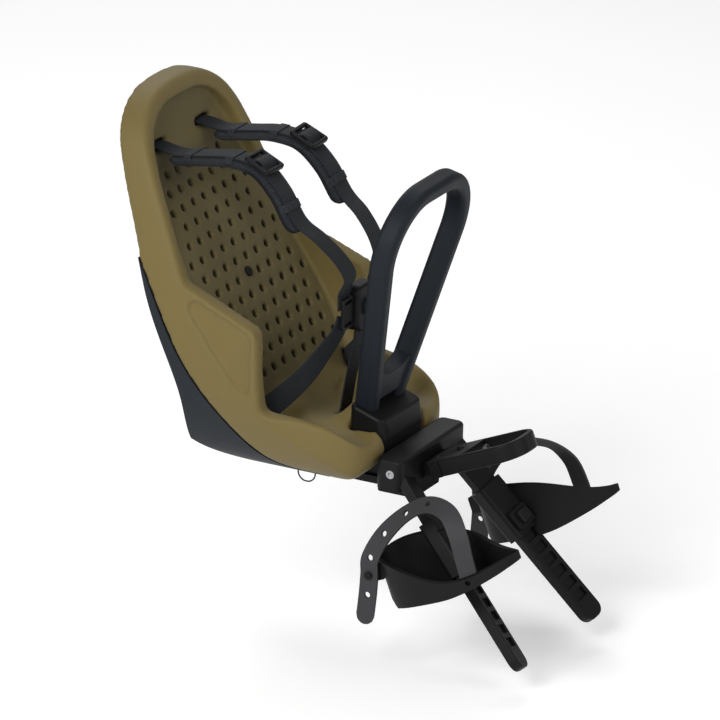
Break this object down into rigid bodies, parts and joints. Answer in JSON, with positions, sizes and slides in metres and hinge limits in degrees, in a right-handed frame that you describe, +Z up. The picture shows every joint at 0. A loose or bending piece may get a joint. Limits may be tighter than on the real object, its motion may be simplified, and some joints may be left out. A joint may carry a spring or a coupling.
{
  "type": "front-mounted child seat",
  "caption": "Front-mounted child seat: moulded bucket with harness, grab handle, tube clamp bracket and footrests that slide on notched bars.",
  "frame": {"origin": "on the axis of the clamp that grips the tube", "axes": "+X to the sitting child's left, -Y forward, +Z up"},
  "size_m": [0.2792, 0.5001, 0.5402],
  "materials": {
    "pad_foam": "matte olive-tan moulded foam",
    "shell_plastic": "dark slate grey moulded plastic",
    "black_plastic": "black textured plastic",
    "button_plastic": "dark grey plastic",
    "soft_grip": "dark grey soft grip",
    "webbing": "dark grey-blue woven webbing",
    "sleeve_fabric": "dark grey-blue padded fabric",
    "strap_rubber": "mid-grey rubber",
    "shim_rubber": "black rubber",
    "screw_steel": "plain steel",
    "lock_metal": "plated steel",
    "wire_black": "black coated wire"
  },
  "bodies": {
    "seat": {"bar_screws": "screw_steel", "buckle_body": "black_plastic", "buckle_tongue_left": "black_plastic", "buckle_tongue_right": "black_plastic", "carrier_screws": "screw_steel", "clamp_bolts": "screw_steel", "clamp_bracket": "black_plastic", "clamp_cap": "black_plastic", "clamp_shim": "shim_rubber", "crotch_strap": "webbing", "footrest_bar_left": "black_plastic", "footrest_bar_right": "black_plastic", "front_hood": "black_plastic", "grab_handle": "soft_grip", "hip_strap_left": "webbing", "hip_strap_right": "webbing", "pad_plug": "black_plastic", "pull_loop": "wire_black", "seat_carrier": "black_plastic", "seat_pad": "pad_foam", "seat_shell": "shell_plastic", "shoulder_anchor": "black_plastic", "shoulder_pad_left": "sleeve_fabric", "shoulder_pad_right": "sleeve_fabric", "shoulder_strap_left": "webbing", "shoulder_strap_right": "webbing", "strap_adjuster_left": "black_plastic", "strap_adjuster_right": "black_plastic"},
    "footrest_left": {"footrest_left": "black_plastic", "foot_strap_left": "strap_rubber"},
    "footrest_right": {"footrest_right": "black_plastic", "foot_strap_right": "strap_rubber"},
    "footrest_latch_left": {"footrest_button_left": "button_plastic"},
    "footrest_latch_right": {"footrest_button_right": "button_plastic"},
    "harness_press": {"buckle_button": "button_plastic"},
    "mount_release": {"release_button": "button_plastic"},
    "key_lock": {"lock_cylinder": "lock_metal"}
  },
  "joints": [
    {"name": "footrest_left_slide", "type": "slide", "parent": "seat", "child": "footrest_left", "axis": [0.1263, -0.6735, -0.7283], "range_m": [-0.02, 0.08]},
    {"name": "footrest_right_slide", "type": "slide", "parent": "seat", "child": "footrest_right", "axis": [-0.1263, -0.6735, -0.7283], "range_m": [-0.02, 0.08]},
    {"name": "footrest_left_latch_press", "type": "slide", "parent": "footrest_left", "child": "footrest_latch_left", "axis": [0.2567, 0.7313, -0.6319], "range_m": [0, 0.003], "stiffness_N_per_m": 2500},
    {"name": "footrest_right_latch_press", "type": "slide", "parent": "footrest_right", "child": "footrest_latch_right", "axis": [-0.2567, 0.7313, -0.6319], "range_m": [0, 0.003], "stiffness_N_per_m": 2500},
    {"name": "buckle_press", "type": "slide", "parent": "seat", "child": "harness_press", "axis": [0, 1, 0], "range_m": [0, 0.003], "stiffness_N_per_m": 3000},
    {"name": "release_press", "type": "slide", "parent": "seat", "child": "mount_release", "axis": [0, -1, 0], "range_m": [0, 0.005], "stiffness_N_per_m": 3000},
    {"name": "lock_turn", "type": "hinge", "parent": "seat", "child": "key_lock", "pos_m": [0.03, 0.062, -0.0285], "axis": [1, 0, 0], "range_deg": [0, 90]}
  ]
}
